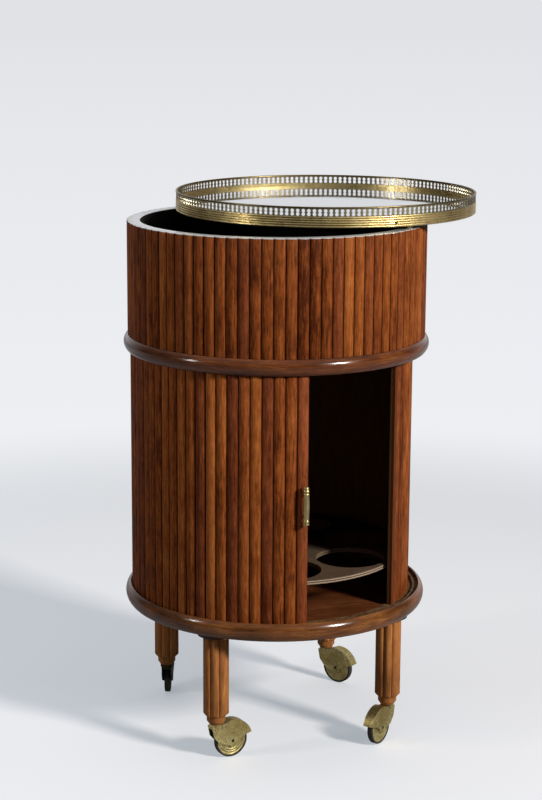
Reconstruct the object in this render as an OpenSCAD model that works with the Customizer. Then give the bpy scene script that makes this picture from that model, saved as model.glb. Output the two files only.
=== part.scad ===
// Round mobile bar: a slatted drum under a swing-out galleried tray, on a slatted
// cabinet with a sliding curved door, a turning bottle rack, reeded legs and casters.
// Millimetres. Z is up and the floor is z = 0. The doorway faces -Y.
// Shapes are drawn about the cabinet's upright axis, then moved so that the origin
// is on the floor under the middle of the footprint, with the tray swung out.

/* [Stand] */
// Height of a leg's foot above the top of a wheel
foot_up = 4; // [4:0.5:10]
// Length of a leg from its foot to the flange
leg_len = 131; // [90:1:200]
// Radius over the reeds of a leg
leg_r = 18; // [16:0.5:22]
// Number of reeds round a leg
leg_reeds = 8; // [6:1:10]
// Distance from the edge of the base moulding to a leg's axis
leg_in = 34.7; // [33:0.1:60]
// Thickness of the flange over a leg
flange_t = 5.2; // [4:0.1:12]
// Radius of the flange over a leg
flange_r = 26; // [25:0.5:28]

/* [Casters] */
// Diameter of a wheel over its tyre
wheel_d = 49; // [44:0.5:52]
// Width of a tyre
tyre_w = 8; // [6:0.5:9]
// Depth of rubber round a wheel
tyre_t = 2.5; // [1.5:0.1:4]
// Width over the cheeks of a caster's hood
hood_w = 15; // [14:0.5:18]
// Distance from the swivel axis to the axle
trail = 23; // [20:0.5:27]
// Radius of a caster's stem
stem_r = 5; // [4:0.1:6]
// Direction that the front left wheel trails in
trail_fl = 11.3; // [-180:0.1:180]
// Direction that the front right wheel trails in
trail_fr = -142.7; // [-180:0.1:180]
// Direction that the back left wheel trails in
trail_bl = 70; // [-180:0.1:180]
// Direction that the back right wheel trails in
trail_br = -54.7; // [-180:0.1:180]

/* [Cabinet] */
// Radius over the slats of the sliding door
door_r = 207.6; // [190:0.1:225]
// Height of the base moulding
base_h = 25; // [20:0.5:40]
// Height from the base moulding to the collar
cabinet_h = 343.8; // [250:0.1:420]
// How far the base moulding stands out past the door
base_out = 8.9; // [8:0.1:14]
// How far the collar stands out past the door
collar_out = 9.1; // [9:0.1:14]
// Height of the collar
collar_h = 22; // [18:0.1:30]
// How far the face of the fixed wall lies inside the face of the door
wall_in = 13.2; // [12.8:0.1:15]
// Thickness of the fixed wall's slats
wall_slat_t = 4; // [3.6:0.1:6]
// Number of slats in the fixed wall
wall_slats_n = 59; // [40:1:70]
// Angle of the doorway
doorway_angle = 77.6; // [60:0.1:90]
// Depth of the panel that carries the wall's slats
wall_panel_t = 2.5; // [2:0.1:3]

/* [Door] */
// Thickness of the door's slats
door_slat_t = 7.8; // [7:0.1:8]
// Number of slats in the door
door_slats_n = 24; // [22:1:30]
// Angle from one slat of the door to the next
door_pitch = 4.444; // [4:0.001:4.6]
// How far the door stands open from its closed stop
door_open = 45.3; // [0.1:0.1:74]
// Height of the handle's middle above the door's foot
handle_up = 172.6; // [60:0.1:300]
// Length of the handle
handle_len = 54; // [46:0.5:80]
// Width of the handle at its bulges
handle_w = 9.6; // [8:0.1:11]
// Distance between the handle's posts
handle_posts = 32; // [26:0.5:34]
// Distance from the face of the door to the middle of the handle
handle_rise = 9.8; // [9:0.1:14]

/* [Drum] */
// How far the drum's slats stand out past the door's
drum_out = 3.6; // [2:0.1:4]
// Height of the drum
drum_h = 160.4; // [100:0.2:220]
// Thickness of the drum's slats
drum_slat_t = 8; // [6:0.1:9]
// Thickness of the shell behind the drum's slats
drum_shell_t = 10.5; // [9.5:0.1:14]
// Number of slats round the drum
drum_slats_n = 82; // [60:1:90]
// How far a slat's face stands out from its edges
slat_bulge = 3; // [1.5:0.1:4]

/* [Tray] */
// How far the tray stands out past the drum's slats
tray_out = 4.8; // [2:0.1:10]
// Gap between the drum's rim and the tray
tray_gap = 4.6; // [2:0.1:8]
// Height of the ribbed band
band_h = 16; // [12:0.5:24]
// Number of ribs on the band
band_ribs = 5; // [3:1:6]
// Height of the pierced gallery above the band
gallery_h = 12.8; // [12:0.1:20]
// Number of piercings round the gallery
piercings_n = 180; // [90:6:190]
// Radius of each of the two holes of a piercing
pierce_r = 2.5; // [1.5:0.1:2.8]
// Thickness of the tray's board
tray_board_t = 7.5; // [6:0.1:10]
// Thickness of the mirror in the tray
mirror_t = 4; // [3:0.1:6]
// Distance from the face of the drum's slats to the tray's pivot
pivot_in = 12.7; // [12.2:0.1:14.5]
// Direction of the tray's pivot
pivot_az = -45; // [-50:0.5:-40]
// How far the tray is swung out
tray_swung = 30.7; // [0:0.1:120]

/* [Bottle rack] */
// Gap between the rack's floor and the fixed wall
rack_gap = 5.8; // [5:0.1:20]
// How far the bottle shelf's edge lies inside the edge of the rack's floor
shelf_in = 1.5; // [0:0.1:10]
// Thickness of the bottle shelf
shelf_t = 6.5; // [4:0.1:8]
// Height of the shelf's top above the rack's floor
shelf_up = 59.3; // [40:0.1:120]
// Number of bottle holes
bottles_n = 7; // [4:1:7]
// Radius of a bottle hole
bottle_r = 48.9; // [35:0.1:50]
// Width of wood between a bottle hole and the shelf's edge
hole_edge = 6.7; // [5:0.1:10]
// Direction of the first bottle hole
bottle_az = -49.7; // [-180:0.1:180]
// Radius of the rack's post
post_r = 11; // [9:0.5:14]

/* [Hidden] */

$fn = 96;
// Extra length that takes a cut clear of a face
cut = 1;
// Gap between glued pieces with curved faces
glue = 0.1;
// Gap between pieces that slide past each other
slide = 0.4;
// Radial gap of a pin that turns in its bore
turn = 0.06;
// Gap between one slat and the next
slat_gap = 0.3;

// Heights, from the floor up
board_t = 8.5;
caster_h = wheel_d + foot_up;
flange_z = caster_h + leg_len;
base_z = flange_z + flange_t;
board_z = base_z + board_t;
base_top = base_z + base_h;
track_depth = 6.2;
track_z = base_top - track_depth;
collar_z = base_top + cabinet_h;
drum_z = collar_z + collar_h;
rim_z = drum_z + drum_h;
tray_z = rim_z + tray_gap;
band_top = tray_z + band_h;
gallery_top = band_top + gallery_h;

// Base and track, from the edge in
base_r = door_r + base_out;
leg_circle_r = base_r - leg_in;
base_bulge = 5.6;
base_edge_r = base_r - base_bulge;
board_in = 11;
board_r = base_edge_r - board_in;
base_lip = 1.9;
track_r = base_edge_r - base_lip;
rail_in = 4;
rail_r = door_r - rail_in;
rail_t = 3;
rail_h = 2.5;
rail_gap = 0.3;
groove_w = 4;
groove_deep = 2.6;

// Fixed wall and its doorway
wall_r = door_r - wall_in;
wall_back_r = wall_r - wall_slat_t;
wall_inner_r = wall_back_r - glue - wall_panel_t;
jamb_angle = 2;
jamb_stand = 0.4;
jamb_play = 0.05;
front_az = -90;
right_jamb_az = front_az + doorway_angle / 2;
left_jamb_az = front_az - doorway_angle / 2;
wall_span = 360 - doorway_angle - 2 * jamb_angle;
wall_az = right_jamb_az + jamb_angle;

// Sliding door
stile_back = 0.5;
stile_angle = 3;
stop_gap = 0.1;
closed_lead_az = right_jamb_az + stile_back - stop_gap;
lead_az = closed_lead_az - door_open;
door_span = door_slats_n * door_pitch;
door_back_r = door_r - door_slat_t;
canvas_t = 1;
door_foot = track_z + slide;
tongue_z = track_z + rail_h + rail_gap;
top_groove_deep = 6;
top_groove_gap = 1.2;
top_groove_inner_r = door_back_r - canvas_t - top_groove_gap / 2;
top_groove_outer_r = door_r + top_groove_gap;
door_top = collar_z + top_groove_deep - top_groove_gap;
canvas_r = door_back_r - glue - canvas_t;
slat_az = lead_az - door_pitch / 2;
handle_in = 1.5;
handle_az = lead_az - handle_in;
handle_z = door_foot + handle_up;
post_thick_r = 2.4;
post_foot_r = 4.4;
post_foot_t = 1.4;
shank_r = 1.4;
head_r = 3;
head_t = 1.2;

// Collar and the board over the cabinet
collar_r = door_r + collar_out;
collar_bulge = 5.5;
collar_edge_r = collar_r - collar_bulge;
collar_lip = 10;
collar_inner_r = wall_inner_r - collar_lip;
collar_bead_r = 1;

// Drum
drum_r = door_r + drum_out;
drum_back_r = drum_r - drum_slat_t;
shell_outer_r = drum_back_r - glue;
shell_inner_r = shell_outer_r - drum_shell_t;
divider_t = 12;
divider_gap = 1.4;
divider_r = shell_inner_r - divider_gap;

// Tray and its pivot
tray_r = drum_r + tray_out;
pivot_at = drum_r - pivot_in;
pin_r = 3;
pin_deep = 28;
washer_r = 7;
band_t = 2.3;
board_edge_r = tray_r - band_t - glue;
mirror_r = tray_r - band_t - slide;
rib_deep = 0.9;
gallery_t = 1.2;
gallery_in = 0.6;
gallery_r = tray_r - gallery_in;
bead_r = 1.35;
pierce_step = 1.84;
pin_head_r = 1.8;
pin_head_h = 0.8;
pin_az = -53.1;
pins_n = 3;
pin_up = 5.6;

// Rack
rack_r = wall_inner_r - rack_gap;
track_gap = 1.3;
track_inner_r = rack_r + track_gap;
shelf_r = rack_r - shelf_in;
bottle_circle_r = shelf_r - hole_edge - bottle_r;
rack_floor_t = 8;
rack_lift = slide;
rack_z = board_z + rack_lift;
rack_top = rack_z + rack_floor_t;
shelf_z = rack_top + shelf_up - shelf_t;
spindle_r = 5;
spindle_up = 40;

// Casters
wheel_r = wheel_d / 2;
disc_r = wheel_r - tyre_t;
disc_in = 1;
disc_w = tyre_w - 2 * disc_in;
tyre_round = 1;
lathe_from = 3;
lathe_step = 3.4;
lathe_w = 1.1;
cheek_t = 2.1;
hood_t = 3.6;
hood_gap = 3;
hood_r = wheel_r + hood_gap + hood_t;
hood_drop = 4;
hood_top = caster_h - hood_drop;
tongue_r = 8;
stem_deep = 34;
stem_collar_r = 9.4;
axle_r = 2.4;
hub_r = 6;
hood_back = -9.3;
hood_from = 16;
hood_to = 97;
// Steps of the cheeks' outline behind, under the visor and past the leg's foot
rear_in = 2.8;
rear_drop = 15;
rim_show = 3;
root_in = 10;
root_up = 7;
step_out = 1.5;
step_up = 3;

// Legs
tenon_r = 8;
tenon_short = 0.4;
tenon_h = flange_t + board_t - tenon_short;
reed_step = 0.7;
reed_r = leg_r * 0.31;
neck_r = leg_r * 0.73;
foot_r = 9.8;
foot_h = 5;
neck_h = 6;
chamfer_h = 6;
screw_r = 1.6;
screw_head_r = 2.6;
screw_head_h = 1.2;
screws_n = 3;
screws_az = 60;
legs = [[-135, trail_fl], [-45, trail_fr], [135, trail_bl], [45, trail_br]];

// The middle of the footprint lies half way along the tray's swing
pivot = [pivot_at * cos(pivot_az), pivot_at * sin(pivot_az)];
tray_shift_x = pivot[0] - pivot[0] * cos(tray_swung) - pivot[1] * sin(tray_swung);
tray_shift_y = pivot[1] + pivot[0] * sin(tray_swung) - pivot[1] * cos(tray_swung);

walnut = [0.36, 0.16, 0.10];
dark = [0.10, 0.05, 0.04];
redwood = [0.42, 0.15, 0.10];
ply = [0.45, 0.38, 0.32];
brass = [0.62, 0.52, 0.32];
rubber = [0.09, 0.08, 0.07];

module placed() {
    translate([-tray_shift_x / 2, -tray_shift_y / 2, 0]) children();
}

module swung() {
    placed()
        translate([pivot[0], pivot[1], 0])
            rotate([0, 0, -tray_swung])
                translate([-pivot[0], -pivot[1], 0]) children();
}

module at_leg(i) {
    placed() rotate([0, 0, legs[i][0]]) translate([leg_circle_r, 0, 0])
        rotate([0, 0, legs[i][1] - legs[i][0]]) children();
}

module on_axle() {
    translate([trail, 0, wheel_r]) rotate([90, 0, 0]) children();
}

// A ring between two radii and two heights
module ring(inner, outer, low, high) {
    translate([0, 0, low]) linear_extrude(high - low) difference() {
        circle(r = outer);
        circle(r = inner);
    }
}

// Part of such a ring, counter-clockwise from an angle
module arc_ring(inner, outer, low, high, from, span) {
    rotate([0, 0, from]) rotate_extrude(angle = span)
        translate([inner, low]) square([outer - inner, high - low]);
}

// Section of a slat that narrows to its flat back, which lies on the X axis
module slat_section(pitch, back_r, t) {
    function half(y) = (back_r + y) * tan(pitch / 2) - slat_gap / 2;
    w = half(t - slat_bulge);
    face_r = (w * w + slat_bulge * slat_bulge) / (2 * slat_bulge);
    intersection() {
        polygon([[-half(0), 0], [half(0), 0], [half(t), t], [-half(t), t]]);
        translate([0, t - face_r]) circle(r = face_r);
    }
}

// Upright slats side by side round the axis
module slats(count, pitch, from, back_r, t, low, high) {
    translate([0, 0, low]) linear_extrude(high - low)
        for (i = [0 : count - 1])
            rotate(from + (i + 0.5) * pitch) translate([back_r, 0]) rotate(-90)
                slat_section(pitch, back_r, t);
}

// Rounded edge of a moulding that bulges out from one radius, seen in section
module round_edge(edge_r, bulge, low, high) {
    half = (high - low) / 2;
    r = (half * half + bulge * bulge) / (2 * bulge);
    intersection() {
        translate([edge_r - cut, low]) square([bulge + 2 * cut, high - low]);
        translate([edge_r + bulge - r, low + half]) circle(r = r);
    }
}

module base_board() {
    color(redwood) placed() difference() {
        translate([0, 0, base_z]) cylinder(r = board_r, h = board_t);
        translate([0, 0, base_z - cut]) cylinder(r = spindle_r, h = board_t + 2 * cut);
        for (leg = legs) rotate([0, 0, leg[0]]) translate([leg_circle_r, 0, base_z - cut])
            cylinder(r = tenon_r + turn, h = board_t + 2 * cut);
    }
}

module base_ring() {
    color(walnut) placed() rotate_extrude() difference() {
        union() {
            translate([track_inner_r, board_z])
                square([base_edge_r - track_inner_r, track_z - board_z]);
            translate([board_r + glue, base_z])
                square([base_edge_r - board_r - glue, track_z - base_z]);
            translate([track_r, base_z]) square([base_edge_r - track_r, base_h]);
            round_edge(base_edge_r, base_bulge, base_z, base_top);
        }
        translate([rail_r - rail_t - groove_w, track_z - groove_deep])
            square([groove_w, groove_deep + cut]);
    }
}

module track_rail() {
    color(ply) placed() ring(rail_r - rail_t, rail_r, track_z, track_z + rail_h);
}

module wall_panel() {
    color(dark) placed()
        arc_ring(wall_inner_r, wall_back_r - glue, track_z, collar_z, right_jamb_az,
            360 - doorway_angle);
}

module wall_slats() {
    color(walnut) placed()
        slats(wall_slats_n, wall_span / wall_slats_n, wall_az, wall_back_r, wall_slat_t,
            track_z, collar_z);
}

module door_jambs() {
    color(redwood) placed() for (az = [right_jamb_az, left_jamb_az - jamb_angle])
        arc_ring(wall_back_r, wall_r + jamb_stand, track_z, collar_z, az + jamb_play,
            jamb_angle - 2 * jamb_play);
}

module collar() {
    color(walnut) placed() rotate_extrude() difference() {
        union() {
            translate([collar_inner_r, collar_z])
                square([collar_edge_r - collar_inner_r, collar_h]);
            round_edge(collar_edge_r, collar_bulge, collar_z, drum_z);
            translate([collar_edge_r, collar_z + collar_bead_r]) circle(r = collar_bead_r);
        }
        translate([top_groove_inner_r, collar_z - cut])
            square([top_groove_outer_r - top_groove_inner_r, top_groove_deep + cut]);
        translate([collar_inner_r - cut, drum_z - divider_t])
            square([divider_r + glue - collar_inner_r + cut, divider_t + cut]);
    }
}

module divider() {
    color(dark) placed() translate([0, 0, drum_z - divider_t])
        cylinder(r = divider_r, h = divider_t);
}

module drum_shell() {
    color(walnut) placed() difference() {
        ring(shell_inner_r, shell_outer_r, drum_z, rim_z);
        translate([pivot[0], pivot[1], rim_z - pin_deep]) cylinder(r = pin_r, h = pin_deep + cut);
    }
}

module drum_slats() {
    color(walnut) placed()
        slats(drum_slats_n, 360 / drum_slats_n, 0, drum_back_r, drum_slat_t, drum_z, rim_z);
}

module reeded_section() {
    circle(r = leg_r * reed_step);
    for (i = [0 : leg_reeds - 1]) rotate((i + 0.5) * 360 / leg_reeds)
        translate([leg_r - reed_r, 0]) circle(r = reed_r, $fn = 48);
}

// A reeded post on a turned foot, with a tenon above and the caster's bore below
module leg(i) {
    color(walnut) placed() rotate([0, 0, legs[i][0]]) translate([leg_circle_r, 0, 0])
        difference() {
            union() {
                intersection() {
                    translate([0, 0, caster_h]) linear_extrude(leg_len) reeded_section();
                    rotate_extrude() polygon([
                        [0, caster_h],
                        [foot_r, caster_h],
                        [neck_r, caster_h + foot_h],
                        [neck_r, caster_h + foot_h + neck_h],
                        [leg_r + cut, caster_h + foot_h + neck_h + chamfer_h],
                        [leg_r + cut, flange_z],
                        [0, flange_z]]);
                }
                translate([0, 0, flange_z - cut]) cylinder(r = tenon_r, h = tenon_h + cut);
            }
            translate([0, 0, caster_h - cut]) cylinder(r = stem_r, h = stem_deep + 2 * cut);
        }
}

module at_screws() {
    for (leg = legs) rotate([0, 0, leg[0]]) translate([leg_circle_r, 0, 0])
        for (i = [0 : screws_n - 1]) rotate([0, 0, screws_az + i * 360 / screws_n])
            translate([(leg_r + flange_r) / 2, 0, 0]) children();
}

module leg_flanges() {
    color(dark) placed() difference() {
        for (leg = legs) rotate([0, 0, leg[0]]) translate([leg_circle_r, 0, flange_z])
            cylinder(r = flange_r, h = flange_t);
        for (leg = legs) rotate([0, 0, leg[0]]) translate([leg_circle_r, 0, flange_z - cut])
            cylinder(r = tenon_r + turn, h = flange_t + 2 * cut);
        at_screws() translate([0, 0, flange_z - cut])
            cylinder(r = screw_r, h = flange_t + 2 * cut, $fn = 24);
    }
}

module flange_screws() {
    color(brass) placed() at_screws() translate([0, 0, flange_z]) {
        cylinder(r = screw_r, h = flange_t, $fn = 24);
        translate([0, 0, -screw_head_h]) cylinder(r = screw_head_r, h = screw_head_h, $fn = 32);
    }
}

module rack_spindle() {
    color(brass) placed() translate([0, 0, base_z])
        cylinder(r = spindle_r, h = rack_top + spindle_up - base_z);
}

module pivot_pin() {
    color(brass) placed() translate([pivot[0], pivot[1], rim_z - pin_deep])
        cylinder(r = pin_r, h = pin_deep + tray_gap + tray_board_t - slide);
}

module pivot_washer() {
    color(brass) placed() translate([pivot[0], pivot[1], rim_z]) difference() {
        cylinder(r = washer_r, h = tray_gap - slide / 2);
        translate([0, 0, -cut]) cylinder(r = pin_r, h = tray_gap + 2 * cut);
    }
}

module door_canvas() {
    color(dark) placed()
        difference() {
            arc_ring(canvas_r, door_back_r - glue, tongue_z, door_top, lead_az - door_span,
                door_span);
            at_posts() cylinder(r = shank_r + turn, h = 2 * handle_rise, center = true, $fn = 24);
        }
}

module door_slats() {
    color(walnut) placed() difference() {
        slats(door_slats_n, door_pitch, lead_az - door_span, door_back_r, door_slat_t,
            door_foot, door_top);
        ring(door_back_r - cut, rail_r + rail_gap, door_foot - cut, tongue_z);
        at_posts() cylinder(r = shank_r + turn, h = 3 * handle_rise, center = true, $fn = 24);
    }
}

module door_stile() {
    color(redwood) placed() difference() {
        arc_ring(wall_back_r, canvas_r - glue, tongue_z, collar_z - slide,
            lead_az - stile_back - stile_angle, stile_angle);
        at_posts() cylinder(r = shank_r + turn, h = 5 * handle_rise, center = true, $fn = 24);
    }
}

// Face of the door's leading slat, which the handle's posts are shaped to
module leading_face() {
    half = (door_back_r + door_slat_t - slat_bulge) * tan(door_pitch / 2) - slat_gap / 2;
    face_r = (half * half + slat_bulge * slat_bulge) / (2 * slat_bulge);
    rotate([0, 0, slat_az]) translate([door_r - face_r, 0, 0])
        cylinder(r = face_r + glue, h = handle_z + handle_len);
}

// Where the handle's two posts meet the door, with Z pointing out of it
module at_posts() {
    for (side = [-1, 1]) rotate([0, 0, handle_az])
        translate([door_r, 0, handle_z + side * handle_posts / 2]) rotate([0, 90, 0]) children();
}

// Outline of the turned handle beside its axis: rings at both ends and two bulges between
module handle_outline() {
    r = handle_w / 2;
    half = handle_len / 2;
    core_r = r * 0.72;
    ring_r = r * 0.9;
    ring_h = handle_len * 0.07;
    knob_r = r * 0.5;
    knob_at = r * 0.45;
    knob_in = ring_h * 2.6;
    bulge_r = handle_len * 0.19;
    difference() {
        union() {
            translate([0, -half]) square([core_r, handle_len]);
            for (side = [-1, 1]) {
                translate([0, side * (half - ring_h / 2)]) square([2 * ring_r, ring_h], center = true);
                translate([knob_at, side * (half - knob_in)]) circle(r = knob_r);
                translate([r - bulge_r, side * bulge_r]) circle(r = bulge_r);
            }
        }
        translate([-4 * half, -4 * half]) square([4 * half, 8 * half]);
    }
}

module door_handle() {
    color(brass) placed() difference() {
        union() {
            rotate([0, 0, handle_az]) translate([door_r + handle_rise, 0, handle_z])
                rotate_extrude() handle_outline();
            at_posts() {
                translate([0, 0, -handle_rise / 4]) cylinder(r = post_thick_r, h = handle_rise);
                translate([0, 0, -post_foot_t]) cylinder(r = post_foot_r, h = 2 * post_foot_t);
            }
        }
        leading_face();
        at_posts() translate([0, 0, -handle_rise / 2])
            cylinder(r = shank_r + turn, h = handle_rise, $fn = 24);
    }
}

module handle_screws() {
    color(brass) placed() for (side = [-1, 1]) rotate([0, 0, handle_az])
        translate([wall_back_r - head_t, 0, handle_z + side * handle_posts / 2])
            rotate([0, 90, 0]) {
                cylinder(r = head_r, h = head_t - glue);
                cylinder(r = shank_r, h = door_r + handle_rise / 3 - wall_back_r + head_t, $fn = 24);
            }
}

module rack_floor() {
    color(redwood) placed() difference() {
        translate([0, 0, rack_z]) cylinder(r = rack_r, h = rack_floor_t);
        translate([0, 0, rack_z - cut]) cylinder(r = spindle_r + turn, h = rack_floor_t + 2 * cut);
    }
}

module rack_post() {
    color(dark) placed() difference() {
        translate([0, 0, rack_top]) cylinder(r = post_r, h = shelf_z - rack_top);
        translate([0, 0, rack_top - cut]) cylinder(r = spindle_r + turn, h = spindle_up + 2 * cut);
    }
}

module rack_shelf() {
    color(ply) placed() translate([0, 0, shelf_z]) linear_extrude(shelf_t) difference() {
        circle(r = shelf_r);
        for (i = [0 : bottles_n - 1]) rotate(bottle_az + i * 360 / bottles_n)
            translate([bottle_circle_r, 0]) circle(r = bottle_r);
    }
}

module tray_board() {
    color(dark) swung() difference() {
        translate([0, 0, tray_z]) cylinder(r = board_edge_r, h = tray_board_t);
        translate([pivot[0], pivot[1], tray_z - cut])
            cylinder(r = pin_r + turn, h = tray_board_t + 2 * cut);
    }
}

module tray_mirror() {
    color([0.85, 0.87, 0.88]) swung() translate([0, 0, tray_z + tray_board_t])
        cylinder(r = mirror_r, h = mirror_t);
}

// A strip of half-round ribs, bent round the board
module tray_band() {
    rib = band_h / band_ribs;
    rib_r = (rib * rib / 4 + rib_deep * rib_deep) / (2 * rib_deep);
    color(brass) swung() rotate_extrude() {
        translate([tray_r - band_t, tray_z]) square([band_t - rib_deep, band_h]);
        for (i = [0 : band_ribs - 1]) intersection() {
            translate([tray_r - band_t, tray_z + i * rib]) square([band_t + cut, rib]);
            translate([tray_r - rib_r, tray_z + (i + 0.5) * rib]) circle(r = rib_r);
        }
    }
}

// The gallery is a thin hoop, pierced with pairs of holes that run together, under a bead
module tray_gallery() {
    middle = band_top + (gallery_h - 2 * bead_r) / 2;
    spacing = pierce_r * pierce_step;
    color(brass) swung() difference() {
        rotate_extrude() {
            translate([gallery_r - gallery_t, band_top]) square([gallery_t, gallery_h - bead_r]);
            translate([gallery_r - gallery_t / 2, gallery_top - bead_r]) circle(r = bead_r, $fn = 32);
        }
        for (i = [0 : piercings_n - 1]) rotate([0, 0, i * 360 / piercings_n])
            translate([gallery_r - gallery_t - cut, 0, middle]) rotate([90, 0, 90])
                linear_extrude(gallery_t + 2 * cut) {
                    translate([0, spacing / 2]) circle(r = pierce_r, $fn = 32);
                    translate([0, -spacing / 2]) circle(r = pierce_r, $fn = 32);
                }
    }
}

module band_pins() {
    color(dark) swung() for (i = [0 : pins_n - 1]) rotate([0, 0, pin_az + i * 360 / pins_n])
        translate([tray_r, 0, tray_z + pin_up]) rotate([0, 90, 0])
            cylinder(r = pin_head_r, h = pin_head_h, $fn = 24);
}

// Side view of a caster's hood, with the swivel axis at x = 0: a visor over the wheel,
// a shoulder under the stem and a tongue round the axle
module hood_section() {
    far = 2 * hood_r;
    crown = [trail + hood_r * cos(hood_to), wheel_r + hood_r * sin(hood_to)];
    intersection() {
        translate([trail, wheel_r]) circle(r = hood_r);
        translate([trail, wheel_r]) polygon([
            [0, 0],
            [far * cos(hood_from), far * sin(hood_from)],
            [far, far],
            [far * cos(hood_to), far * sin(hood_to)]]);
    }
    polygon([
        [hood_back, hood_top],
        [foot_r + step_out, hood_top + step_up],
        crown,
        [trail, wheel_r],
        [trail - wheel_r + rim_show, wheel_r],
        [hood_back + rear_in, hood_top - rear_drop]]);
    polygon([
        [trail - wheel_r + rim_show, wheel_r],
        [trail, wheel_r - tongue_r],
        [trail + tongue_r, wheel_r],
        [trail + hood_r - root_in, wheel_r + root_up],
        [trail, wheel_r + hood_r / 2]]);
    translate([trail, wheel_r]) circle(r = tongue_r);
}

// The hood is two cheeks under a top and a visor, open behind
module caster(i) {
    inner_w = hood_w - 2 * cheek_t;
    color(brass) at_leg(i) {
        difference() {
            rotate([90, 0, 0]) translate([0, 0, -hood_w / 2]) linear_extrude(hood_w) hood_section();
            on_axle() translate([0, 0, -inner_w / 2]) cylinder(r = wheel_r + hood_gap, h = inner_w);
            translate([hood_back - cut, -inner_w / 2, 0])
                cube([trail - hood_back + cut, inner_w, hood_top - hood_t]);
            on_axle() translate([0, 0, -hood_w]) cylinder(r = axle_r, h = 2 * hood_w);
        }
        translate([0, 0, hood_top - cut])
            cylinder(r = stem_collar_r, h = caster_h - slide - hood_top + cut);
        translate([0, 0, hood_top]) cylinder(r = stem_r - turn, h = caster_h - hood_top + stem_deep);
    }
}

module axle(i) {
    color(dark) at_leg(i) on_axle() translate([0, 0, -hood_w / 2]) cylinder(r = axle_r, h = hood_w);
}

// A disc with grooves turned in both faces and a boss that fills the space in the hood
module wheel(i) {
    boss_w = hood_w - 2 * cheek_t - 2 * slide;
    bore_r = axle_r + turn;
    color(brass) at_leg(i) on_axle() rotate_extrude() {
        difference() {
            translate([bore_r, -disc_w / 2]) square([disc_r - bore_r, disc_w]);
            for (side = [-1, 1]) for (r = [hub_r + lathe_from : lathe_step : disc_r - lathe_w])
                translate([r, side * disc_w / 2]) rotate(45) square(lathe_w, center = true);
        }
        translate([bore_r, -boss_w / 2]) square([hub_r - bore_r, boss_w]);
    }
}

module tyre(i) {
    color(rubber) at_leg(i) on_axle() rotate_extrude() {
        translate([disc_r, -tyre_w / 2]) square([tyre_t - tyre_round, tyre_w]);
        translate([disc_r, -tyre_w / 2 + tyre_round]) square([tyre_t, tyre_w - 2 * tyre_round]);
        for (side = [-1, 1]) translate([wheel_r - tyre_round, side * (tyre_w / 2 - tyre_round)])
            circle(r = tyre_round, $fn = 32);
    }
}

base_board();
base_ring();
track_rail();
wall_panel();
wall_slats();
door_jambs();
collar();
divider();
drum_shell();
drum_slats();
leg(0);  // leg_fl
leg(1);  // leg_fr
leg(2);  // leg_bl
leg(3);  // leg_br
leg_flanges();
flange_screws();
rack_spindle();
pivot_pin();
pivot_washer();
door_canvas();
door_slats();
door_stile();
door_handle();
handle_screws();
rack_floor();
rack_post();
rack_shelf();
tray_board();
tray_mirror();
tray_band();
tray_gallery();
band_pins();
caster(0);  // caster_fl
axle(0);  // axle_fl
wheel(0);  // wheel_fl
tyre(0);  // tyre_fl
caster(1);  // caster_fr
axle(1);  // axle_fr
wheel(1);  // wheel_fr
tyre(1);  // tyre_fr
caster(2);  // caster_bl
axle(2);  // axle_bl
wheel(2);  // wheel_bl
tyre(2);  // tyre_bl
caster(3);  // caster_br
axle(3);  // axle_br
wheel(3);  // wheel_br
tyre(3);  // tyre_br
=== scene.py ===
import math
import random

import bmesh
import bpy
from mathutils import Matrix, Vector


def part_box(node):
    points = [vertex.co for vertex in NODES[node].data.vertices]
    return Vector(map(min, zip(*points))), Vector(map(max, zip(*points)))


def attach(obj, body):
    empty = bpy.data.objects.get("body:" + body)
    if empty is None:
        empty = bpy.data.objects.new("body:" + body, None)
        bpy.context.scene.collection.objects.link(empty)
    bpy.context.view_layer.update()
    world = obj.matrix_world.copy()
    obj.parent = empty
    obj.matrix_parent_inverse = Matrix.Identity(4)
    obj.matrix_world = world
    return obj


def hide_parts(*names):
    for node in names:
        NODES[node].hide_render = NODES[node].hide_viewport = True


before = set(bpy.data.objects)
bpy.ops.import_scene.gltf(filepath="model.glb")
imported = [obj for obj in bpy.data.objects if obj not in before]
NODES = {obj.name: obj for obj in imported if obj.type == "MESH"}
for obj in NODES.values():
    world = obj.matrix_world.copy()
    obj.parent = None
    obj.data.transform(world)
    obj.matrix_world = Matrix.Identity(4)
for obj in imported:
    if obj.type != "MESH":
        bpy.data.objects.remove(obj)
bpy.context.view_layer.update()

bl_info = {
    "name": "Round mobile bar",
    "version": (1, 0, 0),
    "blender": (4, 5, 0),
    "location": "3D View > Sidebar > Mobile bar",
    "description": "Slats, mouldings, pierced gallery, casters and finishes for a round mobile bar",
    "category": "Object",
}

CORNERS = ("fl", "fr", "bl", "br")


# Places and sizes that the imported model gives


def middle(node):
    """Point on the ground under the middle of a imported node."""
    low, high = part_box(node)
    return Vector(((low.x + high.x) / 2, (low.y + high.y) / 2, 0))


AXIS = middle("base_ring")
TRAY = middle("tray_mirror")


def radii(node, centre=AXIS):
    """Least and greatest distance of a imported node's corners from an upright axis."""
    away = [math.hypot(v.co.x - centre.x, v.co.y - centre.y) for v in NODES[node].data.vertices]
    return min(away), max(away)


def sweep(node, facing):
    """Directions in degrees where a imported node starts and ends, either side of where it faces."""
    turns = [(math.degrees(math.atan2(v.co.y - AXIS.y, v.co.x - AXIS.x)) - facing + 180) % 360 - 180
             for v in NODES[node].data.vertices]
    return facing + min(turns), facing + max(turns)


# Counts of the slats, and their thicknesses in metres
DRUM_SLATS = 82
WALL_SLATS = 59
DOOR_SLATS = 24
DRUM_SLAT_T = 0.008
WALL_SLAT_T = 0.004
DOOR_SLAT_T = 0.0078

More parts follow.
